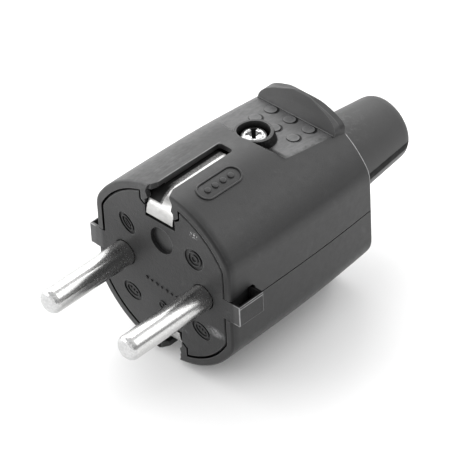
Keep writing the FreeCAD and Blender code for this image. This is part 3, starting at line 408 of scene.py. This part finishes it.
def bright_steel(name, base=0.66, tint=(1.0, 1.0, 1.0), rough=(0.16, 0.34), bumpy=1.0, stain=0.0, painted_slot_shade_and_reflection=False, drive=False):
    g = Graph(name)
    blot = g.noise(0.9, 4.0, 0.65)
    fine = g.noise(5.0, 2.0, 0.6)
    lines = g.noise(1.0, 3.0, 0.6, vec=g.scaled(0.5, 3.0, 0.5))
    col = g.mix(g.remap(blot, 0.34, 0.72), grey(base * 0.82, tint), grey(min(base * 1.1, 0.95), tint))
    if stain:
        worn = g.math("MULTIPLY", g.remap(g.noise(1.9, 4.0, 0.7, distortion=0.5), 0.53, 0.66), stain)
        col = g.mix(worn, col, grey(0.12, tint))
    if painted_slot_shade_and_reflection:
        # in the slot, painted shade: the half under the left wall is painted dark and speckled, black at its left and
        # towards the front, rougher and with little reflection
        x, y, z = g.xyz()
        inside = g.math("MULTIPLY", g.remap(g.math("ADD", y, g.remap(x, -1.5, 1.2, 0.6, -0.3)), 0.55, 1.05), g.remap(g.math("ABSOLUTE", z), 14.3, 14.7))
        wavy = g.math("ADD", x, g.remap(fine, 0.3, 0.7, -0.10, 0.10))
        side = g.math("MULTIPLY", g.remap(wavy, -0.13, -0.26), inside)
        speck = g.remap(g.noise(3.6, 3.0, 0.75), 0.38, 0.68)
        strip_black_shade = g.math("MULTIPLY", g.remap(x, -1.0, -1.3), 1.0)
        strip_black_shade = g.math("MAXIMUM", strip_black_shade, g.math("MULTIPLY", g.remap(y, 6.5, 3.5), g.remap(x, -0.35, -0.85)))
        strip_shade_colour = g.mix(strip_black_shade, g.mix(speck, grey(0.10, tint), grey(0.36, tint)), grey(0.012, tint))
        col = g.mix(side, col, strip_shade_colour)
        dull = side
        # painted reflection: the open half in the slot is painted near white
        strip_sky_reflection = g.math("MULTIPLY", g.math("SUBTRACT", 1.0, side), inside)
        col = g.mix(strip_sky_reflection, col, grey(0.93, tint))
        # the nose is greyer, with painted shade on the upper part of its bend
        nose = g.math("MULTIPLY", g.remap(y, 2.6, 1.8), g.math("SUBTRACT", 1.0, side))
        nose_bend_shade = g.math("MULTIPLY", nose, g.remap(g.math("ABSOLUTE", z), 14.6, 15.6))
        col = g.mix(g.math("MULTIPLY", nose, 0.7), col, g.mix(g.remap(lines, 0.35, 0.65), grey(0.34, tint), grey(0.43, tint)))
        col = g.mix(g.math("MULTIPLY", nose_bend_shade, 0.9), col, g.mix(g.remap(lines, 0.35, 0.65), grey(0.17, tint), grey(0.24, tint)))
    if drive:
        # mottled grey and partly matt in the cross recess; painted shade blackens the arm away from the cord side;
        # grey rub marks between the arms
        x, y, z = g.xyz()
        dy = g.math("SUBTRACT", y, 23.6)
        rr = g.math("SQRT", g.math("ADD", g.math("MULTIPLY", x, x), g.math("MULTIPLY", dy, dy)))
        a = g.math("MULTIPLY", g.math("ADD", x, dy), 0.7071)
        b = g.math("MULTIPLY", g.math("SUBTRACT", dy, x), 0.7071)
        sunk = g.math("MULTIPLY", g.remap(z, 17.04, 16.86), g.remap(rr, 1.75, 1.5))
        arm = g.math("MULTIPLY", g.math("MULTIPLY", g.remap(b, 0.35, 0.6), g.remap(b, 1.95, 1.75)),
                     g.remap(g.math("SUBTRACT", g.math("ABSOLUTE", a), g.math("MULTIPLY", b, 0.42)), 0.16, 0.0))
        rub = g.math("MULTIPLY", g.remap(g.noise(1.6, 3.0, 0.65, distortion=0.9), 0.50, 0.56), g.remap(rr, 2.05, 1.75))
        col = g.mix(g.math("MULTIPLY", rub, 0.8), col, grey(0.10, tint))
        patch = g.remap(g.noise(2.6, 3.0, 0.7), 0.42, 0.60)
        col = g.mix(g.math("MULTIPLY", sunk, 0.85), col, g.mix(patch, grey(0.08, tint), grey(0.60, tint)))
        painted_arm_shade = g.math("MULTIPLY", arm, g.remap(z, 14.0, 15.0))
        col = g.mix(painted_arm_shade, col, grey(0.006, tint))
        matt = g.math("MULTIPLY", g.math("MULTIPLY", sunk, g.math("SUBTRACT", 1.0, painted_arm_shade)), 0.8)
    if not painted_slot_shade_and_reflection:
        # painted shade: the steel is darker in corners and gaps
        near = g.clean((0.45 if drive else 0.9) * MM, 0.20, 0.60)
        if drive:
            near = g.math("MAXIMUM", near, g.math("MULTIPLY", matt, 1.25, True))
        col = g.mix(near, grey(0.03, tint), col)
    g.link(col, g.bsdf.inputs["Base Color"])
    g.bsdf.inputs["Metallic"].default_value = 1.0
    r = g.remap(blot, 0.3, 0.75, rough[0], rough[1])
    if drive:
        g.link(g.math("SUBTRACT", 1.0, matt, True), g.bsdf.inputs["Metallic"])
    if painted_slot_shade_and_reflection:
        r = g.math("ADD", r, g.math("MULTIPLY", dull, 0.2))
        g.link(g.mix(side, grey(1.0), grey(0.3)), g.bsdf.inputs["Specular Tint"])
        # the open part in the slot is made matt so its painted white shows, and the painted dark part has lost its
        # shine
        g.link(g.math("SUBTRACT", 1.0, g.math("ADD", g.math("MULTIPLY", strip_sky_reflection, 0.88), g.math("MULTIPLY", side, 0.75)), True), g.bsdf.inputs["Metallic"])
    g.link(r, g.bsdf.inputs["Roughness"])
    nb = g.bevel(0.12 * MM)
    n1 = g.bump(blot, 0.35 * bumpy, 0.05 * MM, nb)
    n2 = g.bump(fine, 0.22 * bumpy, 0.015 * MM, n1)
    n3 = g.bump(lines, 0.12 * bumpy, 0.012 * MM, n2)
    g.link(n3, g.bsdf.inputs["Normal"])
    return g.mat


M_BODY = plastic("body_plastic", 0.012, 0.022, 0.44, grain=0.9, edge_wear_and_highlight=0.26, rest=True)
M_INSERT = plastic("insert_plastic", 0.006, 0.031, 0.45, grain=2.6, edge_wear_and_highlight=0.34, bevel_r=0.13, blotch=1.4, face=True)
M_FIBRE = plastic("inner_plastic", 0.16, 0.20, 0.6, grain=1.0, edge_wear_and_highlight=0.08, tint=(1.0, 0.98, 0.94))
M_SLEEVE = rubber("sleeve_rubber")
M_PIN = nickel("pin_nickel")
M_STEEL = bright_steel("zinc_steel", 0.60, rough=(0.24, 0.44), bumpy=2.2, stain=0.55)
M_SCREW = bright_steel("screw_steel", 0.66, rough=(0.22, 0.40), bumpy=2.4, stain=0.5, drive=True)
M_STRIP = bright_steel("spring_strip", 0.60, (1.0, 0.995, 0.98), (0.28, 0.42), 0.6, painted_slot_shade_and_reflection=True)

BY_SLOT = {
    "black_plastic": M_BODY, "black_insert_plastic": M_INSERT, "nickel_plate": M_PIN, "zinc_steel": M_STEEL,
    "tinned_strip": M_STRIP, "grey_fibre": M_FIBRE, "black_rubber": M_SLEEVE,
}
SLOT_OF = {s["node"]: s["material_slot"] for s in frame["record"]["subparts"]}
for name, ob in nodes.items():
    m = BY_SLOT[SLOT_OF[name]]
    if not ob.material_slots:
        ob.data.materials.append(m)
    if name == "housing_screw":
        m = M_SCREW
    for s in ob.material_slots:
        s.material = m

# ---------------------------------------------------------------------------
# plain raised rings and dots, in the hollows of the face and on the cover
# ---------------------------------------------------------------------------
PROFILE = [(-0.50, -0.06), (-0.50, 0.55), (-0.38, 0.90), (-0.18, 1.0), (0.18, 1.0), (0.38, 0.90), (0.50, 0.55), (0.50, -0.06)]


def add_piece(name, bm, material):
    me = bpy.data.meshes.new(name)
    bmesh.ops.recalc_face_normals(bm, faces=bm.faces)
    bm.to_mesh(me)
    bm.free()
    me.polygons.foreach_set("use_smooth", [True] * len(me.polygons))
    ob = bpy.data.objects.new(name, me)
    scene.collection.objects.link(ob)
    ob.data.materials.append(material)
    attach(ob, "root")
    return ob


def on_face(y0):
    # face plane: u to +X, v to +Z, raised to -Y
    return lambda u, v, h: Vector((u, y0 - h, v)) * MM


def band(bm, path, width, height, place):
    # closed band with a rounded top along a closed path of (u, v) points, in mm
    n = len(path)
    rows = []
    for i in range(n):
        a, b = Vector(path[i - 1]), Vector(path[(i + 1) % n])
        t = (b - a).normalized()
        o = Vector((t.y, -t.x))
        p = Vector(path[i])
        row = []
        for w, h in PROFILE:
            q = p + o * (w * width)
            row.append(bm.verts.new(place(q.x, q.y, h * height)))
        rows.append(row)
    k = len(PROFILE)
    for i in range(n):
        r0, r1 = rows[i], rows[(i + 1) % n]
        for j in range(k):
            bm.faces.new((r0[j], r0[(j + 1) % k], r1[(j + 1) % k], r1[j]))


def oval(cu, cv, a, b, lean, n=72):
    c, s = math.cos(math.radians(lean)), math.sin(math.radians(lean))
    pts = []
    for i in range(n):
        t = 2.0 * math.pi * i / n
        p, q = a * math.cos(t), b * math.sin(t)
        pts.append((cu + c * p - s * q, cv + s * p + c * q))
    return pts


def knob(bm, cu, cv, r, height, place, n=24):
    # low round dot with a flat top and a rounded shoulder
    rings = [(1.0, -0.06), (1.0, 0.45), (0.94, 0.75), (0.80, 0.94), (0.60, 1.0)]
    rows = []
    for k, h in rings:
        rows.append([bm.verts.new(place(cu + r * k * math.cos(2 * math.pi * i / n), cv + r * k * math.sin(2 * math.pi * i / n),
                                        h * height)) for i in range(n)])
    for a, b in zip(rows, rows[1:]):
        for i in range(n):
            bm.faces.new((a[i], a[(i + 1) % n], b[(i + 1) % n], b[i]))
    bm.faces.new(rows[-1])
    bm.faces.new(list(reversed(rows[0])))


low_face = on_face(HOLLOW_Y)
face = on_face(0.0)
for name, cu, cv, a, b, lean, inner in (
        ("ring_upper_left", -8.45, 7.0, 1.55, 0.86, -46.0, "bar"), ("ring_upper_right", 7.85, 7.3, 1.45, 1.40, 0.0, "ring"),
        ("ring_lower_left", -8.2, -7.95, 1.55, 1.02, -23.0, "dots"), ("ring_lower_right", 8.6, -8.05, 1.6, 1.0, -23.0, "dots")):
    bm = bmesh.new()
    band(bm, oval(cu, cv, a, b, lean), 0.30, 0.22, low_face)
    if inner == "ring":
        band(bm, oval(cu, cv, 0.70, 0.66, 0.0, 48), 0.28, 0.20, low_face)
    elif inner == "bar":
        band(bm, oval(cu, cv, 0.80, 0.22, lean, 48), 0.24, 0.20, low_face)
    else:
        for k in (-0.75, 0.0, 0.75):
            c, s = math.cos(math.radians(lean)), math.sin(math.radians(lean))
            knob(bm, cu + c * k, cv + s * k, 0.24, 0.20, low_face)
    add_piece(name, bm, M_INSERT)

bm = bmesh.new()
for i in range(7):
    t = i / 6.0
    knob(bm, -4.35 + 7.2 * t, -2.95 - 0.85 * t, 0.36 if i % 2 == 0 else 0.26, 0.20, face)
band(bm, oval(-0.76, -7.3, 0.80, 0.74, 0.0, 48), 0.26, 0.20, face)
knob(bm, -0.76, -7.3, 0.26, 0.18, face)
add_piece("row_of_dots_face", bm, M_INSERT)

# on the cover the pattern is laid on the real surface, so that it follows the curve
cover = nodes["housing_upper"]
cover_tree = BVHTree.FromPolygons([cover.matrix_world @ v.co for v in cover.data.vertices],
                                  [tuple(p.vertices) for p in cover.data.polygons])
SIDE = Vector((0.304, 0.0, 0.953)).normalized()
ALONG = (Vector((0.0, 1.0, 0.0)) - SIDE * SIDE.y).normalized()
ACROSS = ALONG.cross(SIDE).normalized()
MIDDLE = Vector((5.55, 9.2, 17.3)) * MM


def on_cover(u, v, h):
    start = MIDDLE + (ALONG * u + ACROSS * v) * MM + SIDE * 0.02
    hit, normal, index, dist = cover_tree.ray_cast(start, -SIDE)
    if hit is None:
        raise RuntimeError("cover pattern misses the cover")
    if normal.dot(SIDE) < 0.0:
        normal = -normal
    return hit + normal * (h * MM)


def stadium(half_l, half_w, n=20):
    pts = []
    for i in range(n + 1):
        t = -math.pi / 2 + math.pi * i / n
        pts.append((half_l - half_w + half_w * math.cos(t), half_w * math.sin(t)))
    for i in range(1, 12):
        pts.append((half_l - half_w - (2 * (half_l - half_w)) * i / 12.0, half_w))
    for i in range(n + 1):
        t = math.pi / 2 + math.pi * i / n
        pts.append((-(half_l - half_w) + half_w * math.cos(t), half_w * math.sin(t)))
    for i in range(1, 12):
        pts.append((-(half_l - half_w) + (2 * (half_l - half_w)) * i / 12.0, -half_w))
    return pts


bm = bmesh.new()
band(bm, stadium(4.9, 1.75), 0.36, 0.24, on_cover)
for u in (-2.85, -0.95, 0.95, 2.85):
    knob(bm, u, 0.0, 0.62, 0.24, on_cover, 32)
add_piece("cover_pattern", bm, M_BODY)

# ---------------------------------------------------------------------------
# stage: plain pale floor, soft studio light, camera at the photo's angle
# ---------------------------------------------------------------------------
low = BOX_AT_START[0][2]
me = bpy.data.meshes.new("floor")
bm = bmesh.new()
bmesh.ops.create_grid(bm, x_segments=1, y_segments=1, size=2.5)
bm.to_mesh(me)
bm.free()
floor = bpy.data.objects.new("floor", me)
floor.location = (0.0, 0.0, low - 0.00005)
scene.collection.objects.link(floor)
gf = Graph("floor_paper")
tone = gf.noise(0.004, 2.0, 0.5)
gf.link(gf.mix(tone, grey(0.90), grey(0.93)), gf.bsdf.inputs["Base Color"])
gf.bsdf.inputs["Roughness"].default_value = 0.85
gf.bsdf.inputs["Specular IOR Level"].default_value = 0.2
floor.data.materials.append(gf.mat)


def softbox(name, place, size, power, aim=(0.0, 0.01, 0.0), size_y=None):
    li = bpy.data.lights.new(name, "AREA")
    li.shape = "RECTANGLE"
    li.size = size
    li.size_y = size_y or size
    li.energy = power
    ob = bpy.data.objects.new(name, li)
    d = Vector(aim) - Vector(place)
    ob.rotation_mode = "QUATERNION"
    ob.rotation_quaternion = d.to_track_quat("-Z", "Y")
    ob.location = place
    scene.collection.objects.link(ob)
    return ob


softbox("key", (-0.5, 0.40, 0.62), 0.60, 3.4)
softbox("rim_back", (-0.2, 0.85, 0.30), 0.60, 3.0)
softbox("rim_right", (0.45, 0.55, 0.55), 0.60, 2.0)
softbox("side_left", (-0.8, -0.10, 0.35), 0.60, 2.6)
softbox("front_left", (-0.55, -0.60, 0.30), 0.45, 2.0)

# a bright room: white overhead, brighter to the left and the front than behind and to the right
world = bpy.data.worlds.new("studio")
scene.world = world
world.use_nodes = True
wt = world.node_tree
bgn = wt.nodes["Background"]
wtc = wt.nodes.new("ShaderNodeTexCoord")


def toward(vec, lo, hi, a, b):
    d = wt.nodes.new("ShaderNodeVectorMath")
    d.operation = "DOT_PRODUCT"
    wt.links.new(wtc.outputs["Generated"], d.inputs[0])
    d.inputs[1].default_value = vec
    m = wt.nodes.new("ShaderNodeMapRange")
    m.interpolation_type = "SMOOTHSTEP"
    wt.links.new(d.outputs["Value"], m.inputs["Value"])
    m.inputs["From Min"].default_value = lo
    m.inputs["From Max"].default_value = hi
    m.inputs["To Min"].default_value = a
    m.inputs["To Max"].default_value = b
    return m.outputs[0]


def wmath(op, a, b):
    m = wt.nodes.new("ShaderNodeMath")
    m.operation = op
    for i, v in enumerate((a, b)):
        if isinstance(v, (int, float)):
            m.inputs[i].default_value = v
        else:
            wt.links.new(v, m.inputs[i])
    return m.outputs[0]


up = toward((0.0, 0.0, 1.0), 0.3, 0.7, 0.0, WORLD_ZENITH)
side = toward((0.0, 0.0, 1.0), 0.3, 0.7, 1.0, 0.0)
ring = wmath("ADD", toward((-1.0, 0.0, 0.0), 0.45, 0.85, 0.0, WORLD_LEFT), toward((0.0, -1.0, 0.0), 0.45, 0.85, 0.0, WORLD_FRONT))
ring = wmath("ADD", ring, WORLD_HORIZON)
wt.links.new(wmath("ADD", up, wmath("MULTIPLY", side, ring)), bgn.inputs["Strength"])
bgn.inputs["Color"].default_value = (1.0, 1.0, 1.0, 1.0)

R2 = Vector((0.71867, 0.69391, -0.04451))
U2 = Vector((-0.40268, 0.46752, 0.78694))
BK = Vector((0.56688, -0.54763, 0.61542))
cam = bpy.data.cameras.new("camera")
cam.sensor_fit = "HORIZONTAL"
cam.sensor_width = 36.0
cam.lens = 36.0 * 5.758 * 654.486 / 450.0
cam.clip_start = 0.01
cam.clip_end = 20.0
cam_ob = bpy.data.objects.new("camera", cam)
place = (R2 * 10.628 + U2 * 8.533 + BK * 654.486) * MM
cam_ob.matrix_world = Matrix((
    (R2.x, U2.x, BK.x, place.x), (R2.y, U2.y, BK.y, place.y), (R2.z, U2.z, BK.z, place.z), (0.0, 0.0, 0.0, 1.0)))
scene.collection.objects.link(cam_ob)
scene.camera = cam_ob
scene.view_settings.view_transform = "Standard"
scene.view_settings.look = "None"
scene.view_settings.exposure = 0.0
scene.view_settings.gamma = 1.0
